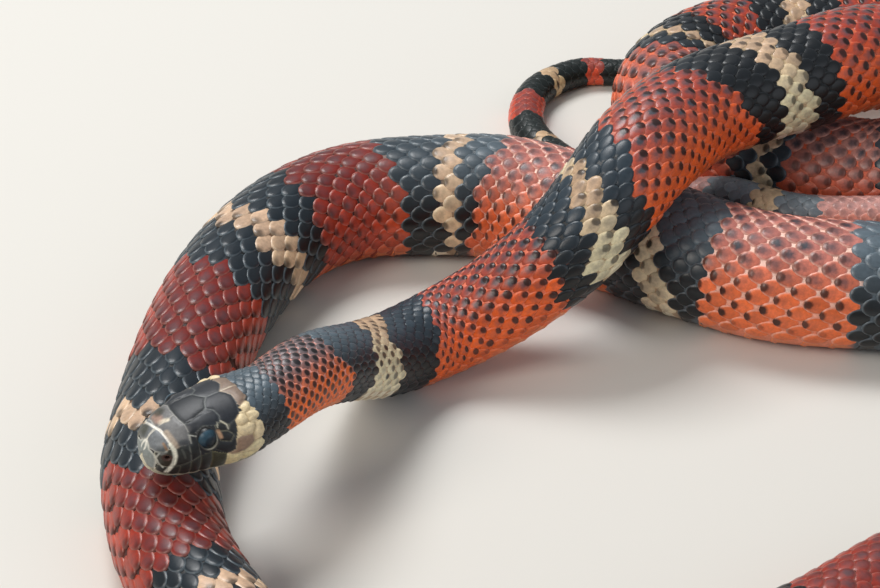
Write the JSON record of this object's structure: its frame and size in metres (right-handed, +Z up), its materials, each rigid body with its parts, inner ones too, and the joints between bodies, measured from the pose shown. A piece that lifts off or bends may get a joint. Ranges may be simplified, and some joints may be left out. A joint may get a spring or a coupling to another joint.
{
  "type": "milk snake",
  "caption": "Life-size milk snake at rest in loose overlapping coils with ringed pattern, the head laid over a loop of its own body.",
  "frame": {"origin": "centre of the footprint's box, on the floor that the belly rests on", "axes": "+Z up from the floor; +X to the right and +Y away, as the picture sees the coils"},
  "size_m": [0.2416, 0.2752, 0.0482],
  "materials": {
    "head_shields": "smooth glossy head shields, dark grey to black with cream seams on the snout",
    "lip_scales": "smooth cream lip and chin scales",
    "eye": "wet glossy blue-black",
    "banded_scales": "smooth satin scales in rings of brick red, black and cream"
  },
  "bodies": {
    "root": {"eye_left": "eye", "eye_right": "eye", "head": "head_shields", "lower_jaw": "lip_scales", "neck": "banded_scales", "tail_01": "banded_scales", "tail_02": "banded_scales", "tail_03": "banded_scales", "tail_04": "banded_scales", "trunk_01": "banded_scales", "trunk_02": "banded_scales", "trunk_03": "banded_scales", "trunk_04": "banded_scales", "trunk_05": "banded_scales", "trunk_06": "banded_scales", "trunk_07": "banded_scales", "trunk_08": "banded_scales", "trunk_09": "banded_scales", "trunk_10": "banded_scales", "trunk_11": "banded_scales", "trunk_12": "banded_scales", "trunk_13": "banded_scales", "trunk_14": "banded_scales", "trunk_15": "banded_scales", "trunk_16": "banded_scales", "trunk_17": "banded_scales"}
  },
  "joints": []
}
